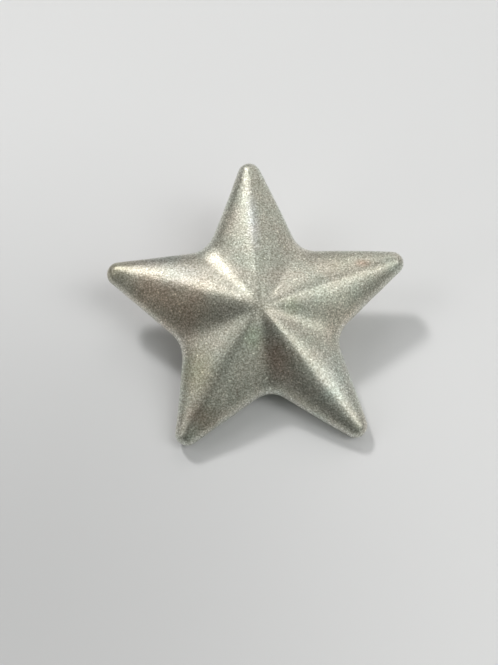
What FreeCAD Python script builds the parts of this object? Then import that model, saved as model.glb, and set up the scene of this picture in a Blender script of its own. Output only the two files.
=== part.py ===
import FreeCAD, Part
import math
import os

# Five-pointed star, cast solid in one piece and rounded all over, the same at the front and the back.
# It lies as it comes to rest: on the back ridges of the two near arms, with the far arm raised.
# Millimetres. Z is up, the raised arm points along Y, X = 0 is the mirror plane, the floor is Z = 0.

# Driving sizes
ARMS = 5
TIP_REACH = 31.5
WAIST_REACH = 16.0
PEAK_HEIGHT = 9.1
EDGE_RADIUS = 2.5
WAIST_RADIUS = 6.0
VALLEY_RADIUS = 2.0

# TIP_REACH runs from the centre to the end of an arm, and WAIST_REACH to the rim between two arms,
# before that corner is softened. PEAK_HEIGHT runs from the mid-plane to the top of either peak.
# EDGE_RADIUS rounds the rim, the ridges, the tips and the peaks. The valleys between the arms
# are softened by VALLEY_RADIUS beside the peak, growing to WAIST_RADIUS at the rim.

# Sizes that follow
PITCH = 360 / ARMS
CORE_TIP = TIP_REACH - EDGE_RADIUS
CORE_PEAK = PEAK_HEIGHT - EDGE_RADIUS
REACH_TOLERANCE = 1e-6
OFFSET_TOLERANCE = 1e-4
UP = FreeCAD.Vector(0, 0, 1)
CENTRE = FreeCAD.Vector(0, 0, 0)


def polar(reach, degrees, height=0.0):
    """A point given by its distance from the axis, its direction and its height."""
    angle = math.radians(degrees)
    return FreeCAD.Vector(reach * math.cos(angle), reach * math.sin(angle), height)


def rim_gap(core_waist):
    """How far the rolled edge of two arms meets outside the corner of their cores."""
    half_pitch = math.radians(PITCH / 2)
    across = CORE_TIP * math.sin(half_pitch)
    along = CORE_TIP * math.cos(half_pitch) - core_waist
    half_opening = math.atan2(across, along)
    return EDGE_RADIUS / math.sin(half_opening)


def core_waist_reach():
    """The corner of the cores that puts the rim between two arms at WAIST_REACH."""
    reach = WAIST_REACH - EDGE_RADIUS
    error = rim_gap(reach) + reach - WAIST_REACH
    while abs(error) > REACH_TOLERANCE:
        reach -= error
        error = rim_gap(reach) + reach - WAIST_REACH
    return reach


CORE_WAIST = core_waist_reach()


def triangle(*corners):
    return Part.Face(Part.makePolygon([*corners, corners[0]]))


def arm_core():
    """One arm without its rounding: four facets from tip to peaks, and two walls to the axis."""
    tip = polar(CORE_TIP, 0)
    waists = [polar(CORE_WAIST, PITCH / 2), polar(CORE_WAIST, -PITCH / 2)]
    front = FreeCAD.Vector(0, 0, CORE_PEAK)
    back = FreeCAD.Vector(0, 0, -CORE_PEAK)
    faces = []
    for waist in waists:
        faces.append(triangle(tip, waist, front))
        faces.append(triangle(tip, waist, back))
        faces.append(triangle(waist, front, back))
    return Part.makeSolid(Part.makeShell(faces))


def arm():
    """The core grown by the edge radius on every side, cut to its own fifth of the star."""
    grown = arm_core().makeOffsetShape(EDGE_RADIUS, OFFSET_TOLERANCE)
    far = 2 * TIP_REACH
    sides = [polar(far, -PITCH / 2), polar(far, PITCH / 2)]
    fifth = triangle(CENTRE, *sides).extrude(UP * 2 * PEAK_HEIGHT)
    fifth.translate(-UP * PEAK_HEIGHT)
    return grown.common(fifth).Solids[0]


def crisp_star():
    """Five arms about the axis, one of them along Y, with the valleys still sharp."""
    first = arm()
    arms = []
    for number in range(ARMS):
        turned = first.copy()
        turned.rotate(CENTRE, UP, 90 + number * PITCH)
        arms.append(turned)
    return arms[0].multiFuse(arms[1:]).removeSplitter().Solids[0]


def in_valley(point):
    """Whether a point lies in the upright plane between two arms."""
    turn = math.degrees(math.atan2(point.y, point.x)) - 90 - PITCH / 2
    return abs(math.remainder(turn, PITCH)) < 0.01


def soft_radius(point):
    beside_peak = math.hypot(point.x, point.y) < WAIST_REACH / 2
    return VALLEY_RADIUS if beside_peak else WAIST_RADIUS


def soft_star(document):
    """The star with its valleys softened by a fillet that widens towards the rim."""
    crisp = document.addObject("Part::Feature", "crisp_star")
    crisp.Shape = crisp_star()
    rows = []
    for number, edge in enumerate(crisp.Shape.Edges, start=1):
        start = edge.valueAt(edge.FirstParameter)
        end = edge.valueAt(edge.LastParameter)
        middle = edge.valueAt((edge.FirstParameter + edge.LastParameter) / 2)
        away_from_peak = math.hypot(middle.x, middle.y) > EDGE_RADIUS
        if away_from_peak and in_valley(start) and in_valley(middle) and in_valley(end):
            rows.append((number, soft_radius(start), soft_radius(end)))
    soft = document.addObject("Part::Fillet", "soft_star")
    soft.Base = crisp
    soft.Edges = rows
    document.recompute()
    return soft.Shape.Solids[0]


def at_rest(star):
    """Tilt the star about X until two back ridges lie along the floor, and centre it."""
    near_tips = CORE_TIP * math.cos(math.radians(PITCH / 2))
    tilt = math.atan2(CORE_PEAK, near_tips)
    middle = (CORE_TIP - near_tips) * math.cos(tilt) / 2
    lift = CORE_PEAK * math.cos(tilt) + EDGE_RADIUS
    star.rotate(CENTRE, FreeCAD.Vector(1, 0, 0), math.degrees(tilt))
    star.translate(FreeCAD.Vector(0, -middle, lift))
    return star


star = at_rest(soft_star(FreeCAD.newDocument("star")))
os.makedirs("parts", exist_ok=True)
star.exportStep("parts/star.step")
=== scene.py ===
# %% [markdown]
# # A cast silver star, lying on a white table
# The object is one solid five-pointed star with a ridge along each arm, soft valleys between the
# arms, a rounded rim and a satin silver finish. It rests on the back ridges of its two near arms.
# The star is small and fully curved, so its skin is worked out as points on a smooth surface.
# A model of boxes and bevels would leave hard lines where the real piece has none.
# %% Load the part
import math

import bpy
import numpy as np
from mathutils import Matrix, Vector, noise


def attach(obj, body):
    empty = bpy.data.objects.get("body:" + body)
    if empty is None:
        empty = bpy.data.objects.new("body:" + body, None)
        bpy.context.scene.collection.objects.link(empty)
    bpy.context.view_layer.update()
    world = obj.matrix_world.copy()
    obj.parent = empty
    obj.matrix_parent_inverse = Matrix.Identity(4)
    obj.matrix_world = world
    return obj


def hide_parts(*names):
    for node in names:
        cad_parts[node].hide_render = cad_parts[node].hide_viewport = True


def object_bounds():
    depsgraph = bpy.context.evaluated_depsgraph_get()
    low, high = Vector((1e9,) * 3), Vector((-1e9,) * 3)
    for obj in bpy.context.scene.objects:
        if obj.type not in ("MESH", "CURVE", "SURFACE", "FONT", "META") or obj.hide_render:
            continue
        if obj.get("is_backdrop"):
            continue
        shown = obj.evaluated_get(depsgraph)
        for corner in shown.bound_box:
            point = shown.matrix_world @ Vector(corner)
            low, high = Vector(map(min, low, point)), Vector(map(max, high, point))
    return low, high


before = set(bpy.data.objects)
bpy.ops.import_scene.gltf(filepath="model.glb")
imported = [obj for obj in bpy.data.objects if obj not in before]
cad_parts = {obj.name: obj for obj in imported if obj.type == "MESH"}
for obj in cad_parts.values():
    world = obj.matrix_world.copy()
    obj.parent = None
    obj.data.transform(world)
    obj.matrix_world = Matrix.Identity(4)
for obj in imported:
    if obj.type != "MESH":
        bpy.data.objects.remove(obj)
low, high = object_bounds()
cad_box = [list(low), list(high)]
print("CAD box in millimetres:", [[round(1000 * value, 2) for value in corner] for corner in cad_box])

# %% [markdown]
# ## The sizes of the star
# These are the sizes that the part is drawn with, in metres. The core of the star is a low
# five-armed double pyramid. A ball of the edge radius is rolled all round it, which rounds every
# ridge, rim and tip, so the core is smaller than the star by that radius. The tilt at rest
# follows from the core: the peak of the back and the tips of the two near arms share the table.
# %% Sizes
MM = 0.001
ARMS = 5
HALF_PITCH = math.pi / ARMS
TIP_REACH = 31.5 * MM
WAIST_REACH = 16.0 * MM
PEAK_HEIGHT = 9.1 * MM
EDGE_RADIUS = 2.5 * MM
TIP_HALF_ANGLE = math.radians(22.85)

CORE_TIP = TIP_REACH - EDGE_RADIUS
CORE_PEAK = PEAK_HEIGHT - EDGE_RADIUS
NEAR_TIPS = CORE_TIP * math.cos(HALF_PITCH)
TILT = math.atan2(CORE_PEAK, NEAR_TIPS)
LIFT = CORE_PEAK * math.cos(TILT) + EDGE_RADIUS
BACK_SHIFT = (CORE_TIP - NEAR_TIPS) * math.cos(TILT) / 2
print("tilt at rest in degrees:", round(math.degrees(TILT), 2))

# %% [markdown]
# ## The section of an arm
# Every slice across an arm has the same shape and grows with its distance from the tip. The
# shape is drawn by turning: it starts level on the ridge and ends upright at the rim. It could
# be a flat facet with two fillets, but a real cast facet is a little puffed. So most of the
# length goes where the slope is close to the facet's own, and the rest rounds ridge and rim.
# %% Section of an arm
PUFF_IN = math.radians(5)
PUFF_OUT = math.radians(13)
RIDGE_ROUNDING = 0.085
RIM_ROUNDING = 0.08
RIM_EASE = math.radians(3)
SECTION_STEPS = 241
SLOPE_ROUNDS = 8


def arm_section():
    """The slope angles round the section, and its points there, out and up from the axis."""
    turn = np.linspace(0, math.pi / 2, SECTION_STEPS)
    step = turn[1] - turn[0]
    across, up = math.tan(TIP_HALF_ANGLE), CORE_PEAK / CORE_TIP
    on_rim = 1 / (1 + np.exp(-(turn - math.atan2(up, across)) / RIM_EASE))
    bend = RIDGE_ROUNDING * (1 - on_rim) + RIM_ROUNDING * on_rim
    rest_across = across - (bend * np.cos(turn)).sum() * step
    rest_up = up - (bend * np.sin(turn)).sum() * step
    slope = math.atan2(rest_up, rest_across)
    for _ in range(SLOPE_ROUNDS):
        off = turn - slope
        facet = np.exp(-(off / np.where(off < 0, PUFF_IN, PUFF_OUT)) ** 2 / 2) * step
        made_across, made_up = (facet * np.cos(turn)).sum(), (facet * np.sin(turn)).sum()
        slope += math.atan2(rest_up, rest_across) - math.atan2(made_up, made_across)
    bend += facet / step * math.hypot(rest_across, rest_up) / math.hypot(made_across, made_up)
    out = np.cumsum(bend * np.cos(turn)) * step
    top = np.cumsum((bend * np.sin(turn))[::-1])[::-1] * step
    return turn, out, top


TURN, OUT, UP = arm_section()
print("section, half width and height per mm from the tip:", round(OUT[-1], 3), round(UP[0], 3))

# %% [markdown]
# ## How far a point is from one arm
# The arm is a cone over that section, with its point at the tip of the core. Each place on the
# section has a plane that just touches the cone. The arm bulges outward everywhere, so a
# point's distance is the largest of its distances to those planes, less the edge radius. Past
# the tip it is the distance to the tip itself, which makes the ball end.
# %% Distance from an arm
LEAST_LENGTH = 1e-9
LEAST_CURVE = 1e-12
STAND = OUT * np.sin(TURN) + UP * np.cos(TURN)
FACING = np.c_[STAND, np.sin(TURN), np.cos(TURN)] / np.sqrt(1 + STAND ** 2)[:, None]
RULING = np.c_[-np.ones(len(TURN)), OUT, UP]


def unit(rows):
    return rows / np.maximum(np.linalg.norm(rows, axis=1), LEAST_LENGTH)[:, None]


def over_arm(spots):
    """Distance from each point to an arm's skin, and the way the skin faces there."""
    from_tip = spots - np.array([CORE_TIP, 0, 0])
    reached = from_tip @ FACING.T
    best = np.clip(reached.argmax(1), 1, len(TURN) - 2)
    row = np.arange(len(spots))
    before, here, after = (reached[row, best + k] for k in (-1, 0, 1))
    curve = np.maximum(2 * here - before - after, LEAST_CURVE)
    shift = np.clip((after - before) / (2 * curve), -1, 1)
    distance = here + shift * (after - before) / 2 - curve * shift ** 2 / 2
    straight = np.linalg.norm(from_tip, axis=1)
    past_tip = (from_tip * RULING[best]).sum(1) < 0
    way = np.where(past_tip[:, None], unit(from_tip), FACING[best])
    return np.where(past_tip, straight, distance) - EDGE_RADIUS, way


probe = np.array([[TIP_REACH, 0, 0], [CORE_TIP, 0, 0]])
print("from the end of an arm and from its core, in mm:", (over_arm(probe)[0] / MM).round(2))

# %% [markdown]
# ## Two arms meet in a soft valley
# The ten facets of a side are mirror images of one, so only half an arm is worked out, and a
# point is folded into it. The arm across the valley gives a second distance. The smaller of the
# two would leave a sharp crease, so they are blended, and more so where the two surfaces face
# further apart. The valleys are also sunk a little, and the peak is worn low.
# %% Distance from the star
VALLEY_WIDTH = 1.0 * MM
CORNER_WIDTH = 4.0 * MM
LEAST_SHARE = 0.25
GROOVE = 0.80 * MM
GROOVE_START = 5.0 * MM
GROOVE_RISE = 4.0 * MM
PEAK_WEAR = 4.8 * MM
ACROSS = math.cos(2 * HALF_PITCH), math.sin(2 * HALF_PITCH)
VALLEY_MIRROR = np.array([[ACROSS[0], ACROSS[1], 0], [ACROSS[1], -ACROSS[0], 0], [0, 0, 1]])


def round_the_peak(reach, angle, height):
    return np.c_[reach * np.cos(angle), reach * np.sin(angle), height]


def height_over_surface(spots):
    """Distance from each point to the finished surface, below zero inside the star."""
    reach = np.hypot(spots[:, 0], spots[:, 1])
    angle = np.abs(np.arctan2(spots[:, 1], spots[:, 0]))
    height = np.abs(spots[:, 2])
    own, own_way = over_arm(round_the_peak(reach, angle, height))
    other, other_way = over_arm(round_the_peak(reach, 2 * HALF_PITCH - angle, height))
    turn = 1 - (own_way * (other_way @ VALLEY_MIRROR)).sum(1)
    grown = np.clip(reach / WAIST_REACH, LEAST_SHARE, 1)
    soft = grown * (VALLEY_WIDTH + CORNER_WIDTH * turn)
    blend = np.maximum(soft - np.abs(own - other), 0) ** 2 / (4 * soft)
    wear = CORE_PEAK / CORE_TIP * (np.hypot(reach, PEAK_WEAR) - reach)
    side = angle / HALF_PITCH
    groove = GROOVE * (2 * side ** 2 - side ** 4) * (1 - np.exp(-(reach / GROOVE_START) ** 2))
    return np.minimum(own, other) - blend + wear + groove * np.tanh(height / GROOVE_RISE)


# %% [markdown]
# ## Bring a point onto the surface
# Each point is moved along a way of its own, by its distance divided by how fast the distance
# changes along it, and this is repeated until nothing is left. Moving it by the shortest way
# to the surface is simpler, but then neighbours can cross each other and fold the net.
# %% Settle points
SETTLE_ROUNDS = 10
SETTLE_STEP = 0.002 * MM
LEAST_CLIMB = 0.2
UPWARD = np.array([0.0, 0.0, 1.0])
NEAR_AXIS = 1e-7


def settle(spots, way):
    """Moves each point along its own way until it lies on the surface."""
    for _ in range(SETTLE_ROUNDS):
        height = height_over_surface(spots)
        climb = (height_over_surface(spots + SETTLE_STEP * way) - height) / SETTLE_STEP
        spots = spots - (height / np.maximum(climb, LEAST_CLIMB))[:, None] * way
    return spots


PEAK_TOP = settle(np.array([[NEAR_AXIS, 0, PEAK_HEIGHT]]), UPWARD[None])[0, 2]
print("peak in mm above the middle plane:", round(PEAK_TOP / MM, 2))

# %% [markdown]
# ## The rim
# The net starts at the rim, on the middle plane. Points are laid at equal steps round the
# tip's ball and along the side to the waist. Each moves straight out of the star, and towards
# the waist that way turns to the middle of the valley, so both arms share the last point.
# %% Points along the rim
COLUMNS = 48
TIP_SAMPLES = 500
SIDE_SAMPLES = 1500
WAIST_TURN_START = 0.55


def rim_row():
    """Points at equal steps along the rim, from tip to waist, and the way out at each."""
    side_way = math.pi / 2 - TIP_HALF_ANGLE
    arc = np.linspace(0, side_way, TIP_SAMPLES)
    tip_arc = np.c_[CORE_TIP + EDGE_RADIUS * np.cos(arc), EDGE_RADIUS * np.sin(arc)]
    corner = WAIST_REACH * np.array([math.cos(HALF_PITCH), math.sin(HALF_PITCH)])
    along = np.linspace(0, 1, SIDE_SAMPLES)[1:]
    side = tip_arc[-1] + along[:, None] * (corner - tip_arc[-1])
    ease = np.clip((along - WAIST_TURN_START) / (1 - WAIST_TURN_START), 0, 1) ** 2
    ways = np.r_[arc, side_way + ease * (HALF_PITCH - side_way)]
    path = np.r_[tip_arc, side]
    steps = np.r_[0, np.cumsum(np.linalg.norm(np.diff(path, axis=0), axis=1))]
    even = np.linspace(0, steps[-1], COLUMNS + 1)
    row = np.c_[np.interp(even, steps, path[:, 0]), np.interp(even, steps, path[:, 1]), 0 * even]
    way = np.interp(even, steps, ways)
    outward = np.c_[np.cos(way), np.sin(way), 0 * way]
    return settle(row, outward), outward


rim, outward = rim_row()
print("rim reaches in mm, at tip and waist:", np.hypot(*rim[[0, -1], :2].T / MM).round(2))

# %% [markdown]
# ## A net from the rim to the peak
# One half of one arm's front is a twentieth of the skin. Its first rows roll up over the rim,
# and the rest are drawn in towards the peak. Its columns run from the ridge to the valley, so
# the quads follow the star's own lines and the ridges stay clean.
# %% The net for a twentieth of the skin
FACET_ROWS = 64
RIM_ROWS = 12
RIM_ROLL = math.radians(52)
TIP_ROLL = math.radians(74)


def patch_rows():
    """Rows of the twentieth, from the rim to just short of the peak."""
    middle = rim - outward * EDGE_RADIUS
    rows = [rim]
    whole_roll = RIM_ROLL + (TIP_ROLL - RIM_ROLL) * outward[:, :1] ** 2
    for number in range(1, RIM_ROWS + 1):
        roll = whole_roll * number / RIM_ROWS
        way = outward * np.cos(roll) + UPWARD * np.sin(roll)
        rows.append(settle(middle + EDGE_RADIUS * way, way))
    edge = rows[-1]
    for number in range(1, FACET_ROWS):
        share = 1 - number / FACET_ROWS
        row = edge * share
        row[:, 2] = edge[:, 2] * share + PEAK_TOP * (1 - share)
        rows.append(settle(row, np.tile(UPWARD, (len(row), 1))))
    return np.array(rows)


patch = patch_rows()
left_over = np.abs(height_over_surface(patch.reshape(-1, 3))).max()
print("rows and columns:", patch.shape[:2], " furthest off the surface in mm:", left_over / MM)

# %% [markdown]
# ## Whole rings, and a round hub
# The patch and its mirror image make one arm, and five turned copies make the front. Right at
# the peak the ridges and valleys of the real piece fade into a small worn dome, so the rings
# there are eased towards one.
# %% Rings round the star
HUB_REACH = 2.3 * MM
HUB_SLOPE = 0.33


def turned(rows, angle):
    along, aside = math.cos(angle), math.sin(angle)
    return rows @ np.array([[along, aside, 0], [-aside, along, 0], [0, 0, 1]])


def front_rings():
    """Whole rings from rim to peak: the patch, its mirror image, and both turned to each arm."""
    mirrored = (patch * np.array([1, -1, 1]))[:, ::-1]
    whole_arm = np.concatenate([mirrored[:, :-1], patch[:, :-1]], axis=1)
    turns = [math.pi / 2 + 2 * HALF_PITCH * number for number in range(ARMS)]
    rings = np.concatenate([turned(whole_arm, angle) for angle in turns], axis=1)
    reach = np.hypot(rings[..., 0], rings[..., 1])
    dome = PEAK_TOP - HUB_SLOPE * (np.hypot(reach, HUB_REACH) - HUB_REACH)
    rings[..., 2] += np.exp(-(reach / HUB_REACH) ** 2) * (dome - rings[..., 2])
    return rings


front = front_rings()
print("rings and points round each:", front.shape[:2])

# %% [markdown]
# ## No two arms quite alike
# A hand-finished casting is a little uneven: its arms differ by a few hundredths in length, and
# tips and waists stand up to two degrees off their places. Each list goes round to the left
# from the top arm, with the top left waist first. Between corners the values are eased.
# %% Uneven arms
ARM_STRETCH = [0.979, 1.004, 0.965, 1.010, 0.985]
WAIST_STRETCH = [1.026, 1.021, 0.977, 0.998, 0.947]
ARM_TURN = [-0.4, -1.9, 0.9, -0.5, -1.6]
WAIST_TURN = [-0.8, 0.2, 2.2, -2.1, -1.1]


def around(angle, arm_values, waist_values):
    """A value for each direction, eased from corner to corner of the rim."""
    ring = [value for pair in zip(arm_values, waist_values) for value in pair]
    place = (angle / HALF_PITCH) % (2 * ARMS)
    first = np.floor(place).astype(int)
    share = place - first
    share = share * share * (3 - 2 * share)
    ring = np.array(ring + ring[:1])
    return ring[first] * (1 - share) + ring[(first + 1) % (2 * ARMS)] * share


def uneven(spots):
    angle = np.arctan2(spots[:, 1], spots[:, 0]) - math.pi / 2
    reach = np.hypot(spots[:, 0], spots[:, 1]) * around(angle, ARM_STRETCH, WAIST_STRETCH)
    angle = angle + math.pi / 2 + np.radians(around(angle, ARM_TURN, WAIST_TURN))
    return round_the_peak(reach, angle, spots[:, 2])


arm_lengths = [round(TIP_REACH / MM * stretch, 2) for stretch in ARM_STRETCH]
print("lengths of the arms in mm:", arm_lengths)

# %% [markdown]
# ## One closed skin
# The front rings, the rim ring and the mirrored back rings are joined ring to ring by quads, and
# a fan of triangles closes each peak. One closed mesh has no seam that light could leak through.
# %% Points and faces


def skin_points():
    """All points of the skin, rings first and the two peaks last, and the size of the net."""
    back = front[1:] * np.array([1, 1, -1])
    rings = np.concatenate([front[::-1], back])
    peaks = np.array([[0, 0, PEAK_TOP], [0, 0, -PEAK_TOP]])
    return uneven(np.vstack([rings.reshape(-1, 3), peaks])), rings.shape[:2]


def skin_faces(ring_count, columns):
    faces = []
    for row in range(ring_count - 1):
        here, below = row * columns, (row + 1) * columns
        for column in range(columns):
            after = (column + 1) % columns
            faces.append((here + column, below + column, below + after, here + after))
    top = ring_count * columns
    last = (ring_count - 1) * columns
    for column in range(columns):
        after = (column + 1) % columns
        faces.append((top, column, after))
        faces.append((top + 1, last + after, last + column))
    return faces


points, net_size = skin_points()
mesh = bpy.data.meshes.new("star_skin")
mesh.from_pydata(points.tolist(), [], skin_faces(*net_size))
mesh.update()
print("points:", len(points), " faces:", len(mesh.polygons))

# %% [markdown]
# ## A surface that is never quite true
# A cast surface has faint waves that bend its reflections. Each point is moved in or out along
# its normal by a few hundredths of a millimetre, as smooth noise says. Moving the points, and
# not only a bump in the finish, makes the ridges and the outline waver too.
# %% Faint waves
WAVE_SIZE = 5 * MM
WAVE_DEPTH = 0.035 * MM
WAVE_MIDDLE = 0.5
WAVE_FALL = 0.8
WAVE_STEP = 2.1
WAVE_LAYERS = 3

normals = np.empty(3 * len(points), np.float32)
mesh.vertices.foreach_get("normal", normals)
waves = []
for point in points:
    waves.append(noise.fractal(Vector(point) / WAVE_SIZE, WAVE_FALL, WAVE_STEP, WAVE_LAYERS))
lifts = WAVE_DEPTH * (np.array(waves) - WAVE_MIDDLE)
points += normals.reshape(-1, 3) * lifts[:, None]
mesh.vertices.foreach_set("co", points.ravel())
print("points moved by, in mm:", round(lifts.min() / MM, 3), "to", round(lifts.max() / MM, 3))

# %% [markdown]
# ## Set down on the table
# The star is tilted to its rest and moved back over its own middle. Its arms are uneven, so it
# is then shifted a little, to touch the table and to lie in the middle of the part's own box.
# %% Set down
mesh.transform(Matrix.Translation((0, -BACK_SHIFT, LIFT)) @ Matrix.Rotation(TILT, 4, "X"))
placed = np.empty(3 * len(points))
mesh.vertices.foreach_get("co", placed)
placed = placed.reshape(-1, 3)
ends = np.array([placed.min(0), placed.max(0)])
box_middle = np.mean(cad_box, axis=0)
set_down = np.r_[(box_middle - ends.mean(0))[:2], -ends[0, 2]]
mesh.transform(Matrix.Translation(set_down.tolist()))
print("set down by, in mm:", (set_down / MM).round(3))

# %% [markdown]
# ## The star in the frame
# The skin takes the place of the plain solid and rides on the part's only body. Smooth shading
# is enough here, because the rounded edges are real and the net is fine.
# %% The star
mesh.polygons.foreach_set("use_smooth", [True] * len(mesh.polygons))
mesh.update()
star = bpy.data.objects.new("star_skin", mesh)
bpy.context.scene.collection.objects.link(star)
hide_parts("star")
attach(star, "root")
for name, (first, last) in zip("xyz", zip(*(ends + set_down) / MM)):
    print("skin", name, round(first, 2), "to", round(last, 2))
print("triangles:", sum(len(face.vertices) - 2 for face in mesh.polygons))

# %% [markdown]
# ## A short way to write nodes
# Materials and the room light are node trees. This helper adds a node, gives it its settings,
# and fills its sockets, either with a value or with a link from another node's output.
# %% Helper for nodes


def node(tree, kind, settings=None, **inputs):
    """A new node. Sockets without a name of their own are given as in_0, in_1 and so on."""
    made = tree.nodes.new(kind)
    for name, value in (settings or {}).items():
        setattr(made, name, value)
    for name, value in inputs.items():
        key = int(name[3:]) if name.startswith("in_") else name.replace("_", " ")
        fill(tree, made.inputs[key], value)
    return made


def fill(tree, socket, value):
    if isinstance(value, bpy.types.NodeSocket):
        tree.links.new(value, socket)
    else:
        socket.default_value = value


def new_material(name):
    material = bpy.data.materials.new(name)
    material.use_nodes = True
    tree = material.node_tree
    return material, tree, tree.nodes["Principled BSDF"]


def ramp(tree, amount, *stops):
    """A colour that follows an amount, from stops of a place and a colour."""
    made = node(tree, "ShaderNodeValToRGB", Fac=amount)
    elements = made.color_ramp.elements
    elements[0].position, elements[1].position = stops[0][0], stops[-1][0]
    elements[0].color, elements[1].color = (*stops[0][1], 1), (*stops[-1][1], 1)
    for place, colour in stops[1:-1]:
        elements.new(place).color = (*colour, 1)
    return made.outputs["Color"]


def toned(tree, surface, share, tone):
    """A surface colour, multiplied by a tone as far as a share from 0 to 1 says."""
    settings = {"data_type": "RGBA", "blend_type": "MULTIPLY"}
    return node(tree, "ShaderNodeMix", settings, Factor=share, A=surface, B=(*tone, 1)).outputs["Result"]


print("helpers ready: node, ramp and toned")

# %% [markdown]
# ## The grain of the silver
# The real surface looks like fine bead-blasted metal or metallic paint: it scatters light in
# tiny points. Noise of a third of a millimetre mixes three warm greys, and broad noise tints
# them slightly. One plain grey with a bump alone would look like sanded plastic. Each grey or
# tint below has the place on its ramp before its colour.
# %% Grain
GRAIN_SIZE = 0.33 * MM
GRAIN_DETAIL = 2.0
GRAIN_ROUGHNESS = 0.6
GRAIN_START = 0.0
DARK_GRAIN = 0.30, (0.26, 0.25, 0.205)
MIDDLE_GRAIN = 0.50, (0.455, 0.44, 0.38)
BRIGHT_GRAIN = 0.70, (0.75, 0.735, 0.675)
TINT_SIZE = 7 * MM
TINT_START = 0.3
WARM_TINT = 0.35, (1.0, 0.97, 0.93)
COOL_TINT = 0.65, (0.95, 1.0, 0.96)


def speckle(tree, place, size, detail, start):
    """Noise of a given size, from its own start so that no two layers line up."""
    shifted = node(tree, "ShaderNodeMapping", Vector=place, Location=(start, 0, 0))
    made = node(tree, "ShaderNodeTexNoise", Vector=shifted.outputs["Vector"], Scale=1 / size,
                Detail=detail, Roughness=GRAIN_ROUGHNESS)
    return made.outputs["Fac"]


def grain_colour(tree, place, fine):
    colour = ramp(tree, fine, DARK_GRAIN, MIDDLE_GRAIN, BRIGHT_GRAIN)
    broad = speckle(tree, place, TINT_SIZE, GRAIN_DETAIL, TINT_START)
    tint = ramp(tree, broad, WARM_TINT, COOL_TINT)
    both = node(tree, "ShaderNodeVectorMath", {"operation": "MULTIPLY"}, in_0=colour, in_1=tint)
    return both.outputs["Vector"]


print("greys of the grain:", DARK_GRAIN, MIDDLE_GRAIN, BRIGHT_GRAIN)

# %% [markdown]
# ## Bright flakes
# A few grains catch the light much more than the rest, most plainly on the dark facets. Only
# the highest tops of a second noise count as flakes, and they brighten the colour.
# %% Flakes
FLAKE_SIZE = 0.48 * MM
FLAKE_DETAIL = 1.0
FLAKE_START = 0.7
FLAKE_TOPS = (0.63, 0.74)
FLAKE_GAIN = 1.6


def with_flakes(tree, place, surface):
    tops = speckle(tree, place, FLAKE_SIZE, FLAKE_DETAIL, FLAKE_START)
    gain = node(tree, "ShaderNodeMapRange", Value=tops, From_Min=FLAKE_TOPS[0],
                From_Max=FLAKE_TOPS[1], To_Min=1.0, To_Max=FLAKE_GAIN).outputs["Result"]
    made = node(tree, "ShaderNodeVectorMath", {"operation": "SCALE"}, in_0=surface, Scale=gain)
    return made.outputs["Vector"]


print("flakes brighten the colour by up to", FLAKE_GAIN)

# %% [markdown]
# ## A painted reflection on the rim
# The rim is painted paler and cooler than the facets, as a painted reflection of the pale table
# below it. The paint follows the distance from the star's middle plane, which is tilted with it,
# so it needs no painted map. It is full up to the first of two distances and gone at the second.
# no painted map. It is full up to the first of two distances and gone at the second.
# %% Painted reflection on the rim
# The rim's paler, cooler tone is a painted reflection of the table.
RIM_PAINTED_REFLECTION = (1.42, 1.45, 1.55)
RIM_PAINTED_REFLECTION_REACH = (0.6 * MM, 2.4 * MM)
STAR_MIDDLE = (0, set_down[1] - BACK_SHIFT, set_down[2] + LIFT)
STAR_UPWARD = (0, -math.sin(TILT), math.cos(TILT))


def fading(tree, distance, near, far):
    """A share of 1 up to a near distance that falls softly to 0 at a far one."""
    return node(tree, "ShaderNodeMapRange", {"interpolation_type": "SMOOTHSTEP"}, Value=distance,
                From_Min=near, From_Max=far, To_Min=1.0, To_Max=0.0).outputs["Result"]


# Paints the reflection of the table onto the rim.
def with_painted_rim_reflection(tree, place, surface):
    away = node(tree, "ShaderNodeVectorMath", {"operation": "SUBTRACT"}, in_0=place, in_1=STAR_MIDDLE)
    height = node(tree, "ShaderNodeVectorMath", {"operation": "DOT_PRODUCT"},
                  in_0=away.outputs["Vector"], in_1=STAR_UPWARD)
    size = node(tree, "ShaderNodeMath", {"operation": "ABSOLUTE"}, in_0=height.outputs["Value"])
    share = fading(tree, size.outputs["Value"], *RIM_PAINTED_REFLECTION_REACH)
    return toned(tree, surface, share, RIM_PAINTED_REFLECTION)


print("the painted rim reflection ends this far from the middle plane, in mm:", RIM_PAINTED_REFLECTION_REACH[1] / MM)
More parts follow.
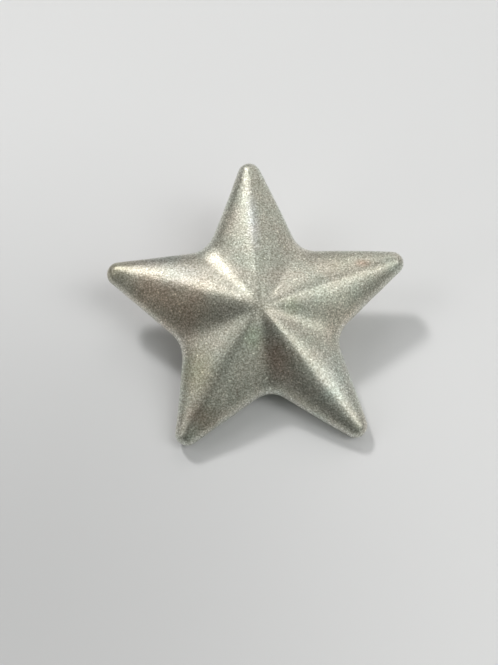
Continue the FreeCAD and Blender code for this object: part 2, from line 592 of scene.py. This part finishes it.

# %% [markdown]
# ## Tints, painted highlights, painted shade and a scratch
# The near side of the left arm is browner, with faint green, olive and brown tints and one
# scratch. Painted highlights brighten some facets, ridges and the right waist, and painted shade
# dulls the left arm's highlight and darkens its tip, the start of the bottom valley and the lower
# left tip. Each mark is a soft blob on the surface with its own reach along each axis, so a thin
# one is a scratch. A tone over 1 in every channel is a painted highlight.
# %% Marks and painted light
# Brown, olive and green tints and a scratch, with painted highlights (tones over 1) and painted shade.
MARKS_AND_PAINTED_LIGHT = [
    # what it is, place in mm, reach in mm, tone
    # tints
    ("brown side of the left arm", (-14.6, -2.2, 13.9), (9, 8, 9), (1.03, 0.86, 0.79)),
    ("brown further out", (-21.2, 2.0, 13.8), (8, 7, 8), (1.04, 0.91, 0.84)),
    # painted shade, on the left tip and over the left arm's highlight
    ("painted shade on the olive left tip", (-28.5, 7.8, 13.6), (8, 6, 6), (0.76, 0.73, 0.66)),
    ("painted shade on the upper side of the left arm", (-19.0, 9.0, 14.8), (11, 6, 6), (0.80, 0.80, 0.84)),
    ("painted shade on the ridge of the left arm", (-15.5, 4.0, 15.5), (8, 4, 5), (0.84, 0.85, 0.90)),
    # painted highlights
    ("painted highlight on the lower side of the right arm", (16.5, -2.5, 14.0), (7, 4, 6), (1.14, 1.14, 1.14)),
    ("painted highlight on the top ridge", (0.0, 13.5, 18.2), (1.9, 10, 3), (1.16, 1.15, 1.28)),
    ("painted highlight on the upper side of the right arm", (17.4, 4.5, 14.9), (9, 5, 5), (1.13, 1.13, 1.10)),
    ("painted highlight on the left side of the top arm", (-5.0, 14.0, 16.8), (4, 7, 4), (1.11, 1.11, 1.10)),
    # tints
    ("olive lower left arm", (-13.5, -14.0, 10.0), (6, 8, 7), (0.86, 0.86, 0.76)),
    ("brown bottom valley", (3.0, -13.7, 10.8), (5, 6, 6), (1.03, 0.91, 0.88)),
    # painted shade
    ("painted shade at the start of that valley", (1.2, -11.7, 12.1), (4, 5, 5), (0.86, 0.82, 0.80)),
    ("painted shade on the tip of the lower left arm", (-12.7, -22.5, 6.4), (5, 6, 6), (0.80, 0.72, 0.68)),
    # painted highlights
    ("painted highlight on the right waist", (15.5, -6.0, 10.5), (11, 9, 10), (1.30, 1.24, 1.22)),
    ("painted highlight on the side of the lower right arm", (15.5, -17.5, 9.0), (9, 11, 9), (1.16, 1.20, 1.27)),
    # tints and a scratch
    ("brown spot on the right arm", (21.1, 4.5, 14.4), (2.4, 1.4, 2), (1.02, 0.88, 0.85)),
    ("green below the peak", (-1.9, -9.7, 14.0), (3, 4, 4), (0.97, 1.03, 0.96)),
    ("green right of the peak", (6.1, -4.4, 15.4), (3, 3, 3), (0.97, 1.03, 0.96)),
    ("scratch", (-5.7, -18.5, 8.2), (0.3, 1.7, 1.9), (0.55, 0.50, 0.47)),
]


# A tint, a scratch, a painted highlight or painted shade, as a soft blob.
def with_mark_or_painted_light(tree, place, surface, middle, reach, tone):
    away = node(tree, "ShaderNodeVectorMath", {"operation": "SUBTRACT"}, in_0=place,
                in_1=[value * MM for value in middle])
    shares = node(tree, "ShaderNodeVectorMath", {"operation": "DIVIDE"},
                  in_0=away.outputs["Vector"], in_1=[value * MM for value in reach])
    length = node(tree, "ShaderNodeVectorMath", {"operation": "LENGTH"}, in_0=shares.outputs["Vector"])
    return toned(tree, surface, fading(tree, length.outputs["Value"], 0.0, 1.0), tone)


print("marks:", len(MARKS_AND_PAINTED_LIGHT))

# %% [markdown]
# ## The silver
# The layers are put together on a metallic shader. It isn't fully metallic, because the dull
# skin of old silver scatters some light. The same fine noise also varies the roughness and
# makes a shallow bump, so bright grains stand up where they catch the light.
# %% Silver finish
SMOOTHEST = 0.38
ROUGHEST = 0.50
BUMP_STRENGTH = 0.5
BUMP_DEPTH = 0.08 * MM
METAL_SHARE = 0.88


def silver_finish():
    material, tree, shader = new_material("warm_silver")
    place = node(tree, "ShaderNodeTexCoord").outputs["Object"]
    fine = speckle(tree, place, GRAIN_SIZE, GRAIN_DETAIL, GRAIN_START)
    surface = with_flakes(tree, place, grain_colour(tree, place, fine))
    # Then the painted reflection of the table on the rim.
    surface = with_painted_rim_reflection(tree, place, surface)
    # Tints, a scratch, painted highlights and painted shade.
    for _, middle, reach, tone in MARKS_AND_PAINTED_LIGHT:
        surface = with_mark_or_painted_light(tree, place, surface, middle, reach, tone)
    rough = node(tree, "ShaderNodeMapRange", Value=fine, To_Min=SMOOTHEST, To_Max=ROUGHEST)
    bump = node(tree, "ShaderNodeBump", Height=fine, Strength=BUMP_STRENGTH, Distance=BUMP_DEPTH)
    fill(tree, shader.inputs["Base Color"], surface)
    fill(tree, shader.inputs["Roughness"], rough.outputs["Result"])
    fill(tree, shader.inputs["Normal"], bump.outputs["Normal"])
    fill(tree, shader.inputs["Metallic"], METAL_SHARE)
    return material


star.data.materials.append(silver_finish())
print("materials:", [material.name for material in star.data.materials])

# %% [markdown]
# ## A white table
# The table is a plain pale sheet, faintly clouded. It is a little shaded towards the near left
# corner, where the viewer stands in the light. The shade is in its colour, since a real
# shadow-caster would also darken the star.
# %% Table
FLOOR_SIZE = 6.0
FLOOR_DROP = 0.05 * MM
FLOOR_COLOUR = (0.790, 0.783, 0.781)
FLOOR_ROUGHNESS = 0.6
CLOUDS_PER_METRE = 9.0
CLOUD_DETAIL = 3.0
CLOUD_TONE = 0.985
CLOUD_EDGES = (0.3, 0.7)
SHADE_PLACE = (-0.060, -0.060, 0.0)
SHADE_REACH = 0.130
SHADE_TONE = 0.72


def table_finish():
    material, tree, shader = new_material("white_table")
    place = node(tree, "ShaderNodeTexCoord").outputs["Object"]
    cloud = node(tree, "ShaderNodeTexNoise", Vector=place, Scale=CLOUDS_PER_METRE, Detail=CLOUD_DETAIL)
    duller = [CLOUD_TONE * channel for channel in FLOOR_COLOUR]
    colour = ramp(tree, cloud.outputs["Fac"], (CLOUD_EDGES[0], duller), (CLOUD_EDGES[1], FLOOR_COLOUR))
    away = node(tree, "ShaderNodeVectorMath", {"operation": "DISTANCE"}, in_0=place, in_1=SHADE_PLACE)
    shade = node(tree, "ShaderNodeMapRange", {"interpolation_type": "SMOOTHSTEP"},
                 Value=away.outputs["Value"], From_Max=SHADE_REACH, To_Min=SHADE_TONE)
    shaded = node(tree, "ShaderNodeVectorMath", {"operation": "SCALE"}, in_0=colour,
                  Scale=shade.outputs["Result"])
    fill(tree, shader.inputs["Base Color"], shaded.outputs["Vector"])
    fill(tree, shader.inputs["Roughness"], FLOOR_ROUGHNESS)
    return material


def table():
    bpy.ops.mesh.primitive_plane_add(size=FLOOR_SIZE, location=(0, 0, -FLOOR_DROP))
    sheet = bpy.context.object
    sheet.name = "table"
    sheet.data.materials.append(table_finish())
    return sheet


table()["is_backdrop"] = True
print("table in metres:", FLOOR_SIZE)

# %% [markdown]
# ## Light from all round the room
# Polished metal shows what is round it, so the light is a room and not one lamp. Each lamp,
# window or wall is a round glow in the sky with a direction, a tightness and a colour. Azimuth
# 0 is beyond the star and 90 is to its left. The tight lamp throws the crisp shadows, the
# windows light the facets that face them, and the viewer's side stays dark.
# %% Room light
WHITE = (1.0, 1.0, 1.0)
GLOWS = [
    # what it is, azimuth, elevation, tightness, strength, colour
    ("lamp beyond on the left", 27, 45, 500, 104.0, WHITE),
    ("high window on the right", -105, 65, 60, 4.3, WHITE),
    ("window on the right", -105, 45, 60, 4.4, WHITE),
    ("wall beyond", -15, 45, 60, 3.1, WHITE),
    ("window on the left", 75, 45, 60, 3.4, WHITE),
    ("low window on the left", 105, 25, 60, 2.3, WHITE),
    ("sill on the left", 75, 25, 60, 0.65, (1.0, 0.97, 0.96)),
    ("low wall beyond on the right", -45, 10, 8, 1.3, (1.0, 0.97, 0.97)),
    ("wall near on the right", -135, 40, 8, 0.65, (0.86, 0.97, 0.94)),
    ("ceiling", 0, 88, 8, 0.25, (0.94, 1.0, 0.92)),
]


def towards(azimuth, elevation):
    """The direction of a place in the room, from its azimuth and elevation in degrees."""
    turn, rise = math.radians(azimuth), math.radians(elevation)
    level = math.cos(rise)
    return Vector((-math.sin(turn) * level, math.cos(turn) * level, math.sin(rise)))


def glow(tree, direction, middle, tightness, light):
    """A round glow in the sky that fades smoothly away from its middle."""
    facing = node(tree, "ShaderNodeVectorMath", {"operation": "DOT_PRODUCT"}, in_0=direction, in_1=middle)
    drop = node(tree, "ShaderNodeMath", {"operation": "MULTIPLY_ADD"}, in_0=facing.outputs["Value"],
                in_1=tightness, in_2=-tightness)
    fade = node(tree, "ShaderNodeMath", {"operation": "EXPONENT"}, in_0=drop.outputs["Value"])
    made = node(tree, "ShaderNodeVectorMath", {"operation": "SCALE"}, in_0=light,
                Scale=fade.outputs["Value"])
    return made.outputs["Vector"]


def room():
    world = bpy.data.worlds.new("room")
    bpy.context.scene.world = world
    world.use_nodes = True
    tree = world.node_tree
    direction = node(tree, "ShaderNodeTexCoord").outputs["Generated"]
    total = (0, 0, 0)
    for _, azimuth, elevation, tightness, strength, colour in GLOWS:
        light = [strength * channel for channel in colour]
        seen = glow(tree, direction, towards(azimuth, elevation), tightness, light)
        both = node(tree, "ShaderNodeVectorMath", {"operation": "ADD"}, in_0=total, in_1=seen)
        total = both.outputs["Vector"]
    fill(tree, tree.nodes["Background"].inputs["Color"], total)


room()
bpy.context.scene.view_settings.view_transform = "Standard"
print("glows in the room:", len(GLOWS))

# %% [markdown]
# ## The viewpoint
# The photo looks down at the star steeply, from about a hand's length away and almost straight
# in front. A longer lens from further off would flatten the star, so the real distance is kept.
# The azimuth is counted as for the glows of the room.
# %% Camera
TARGET = Vector((-2.1, -2.4, 0)) * MM
VIEW_AZIMUTH = 180 - 4.7
VIEW_ELEVATION = 66.4
VIEW_DISTANCE = 227.5 * MM
SENSOR_WIDTH = 36
LENS = 59.5
NEAREST_SEEN = 0.01


def camera():
    data = bpy.data.cameras.new("camera")
    data.sensor_width = SENSOR_WIDTH
    data.lens = LENS
    data.clip_start = NEAREST_SEEN
    made = bpy.data.objects.new("camera", data)
    back = towards(VIEW_AZIMUTH, VIEW_ELEVATION)
    made.location = TARGET + back * VIEW_DISTANCE
    made.rotation_mode = "QUATERNION"
    made.rotation_quaternion = (-back).to_track_quat("-Z", "Y")
    bpy.context.scene.collection.objects.link(made)
    return made


bpy.context.scene.camera = camera()
stand_point = bpy.context.scene.camera.location
print("camera stands at, in mm:", [round(value / MM, 1) for value in stand_point])

# %% [markdown]
# ## The finished box
# The box of the finished star is printed, to set beside the box it was drawn in.
# %% Finish
low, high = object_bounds()
print("box now in millimetres:", [[round(value / MM, 2) for value in corner] for corner in (low, high)])
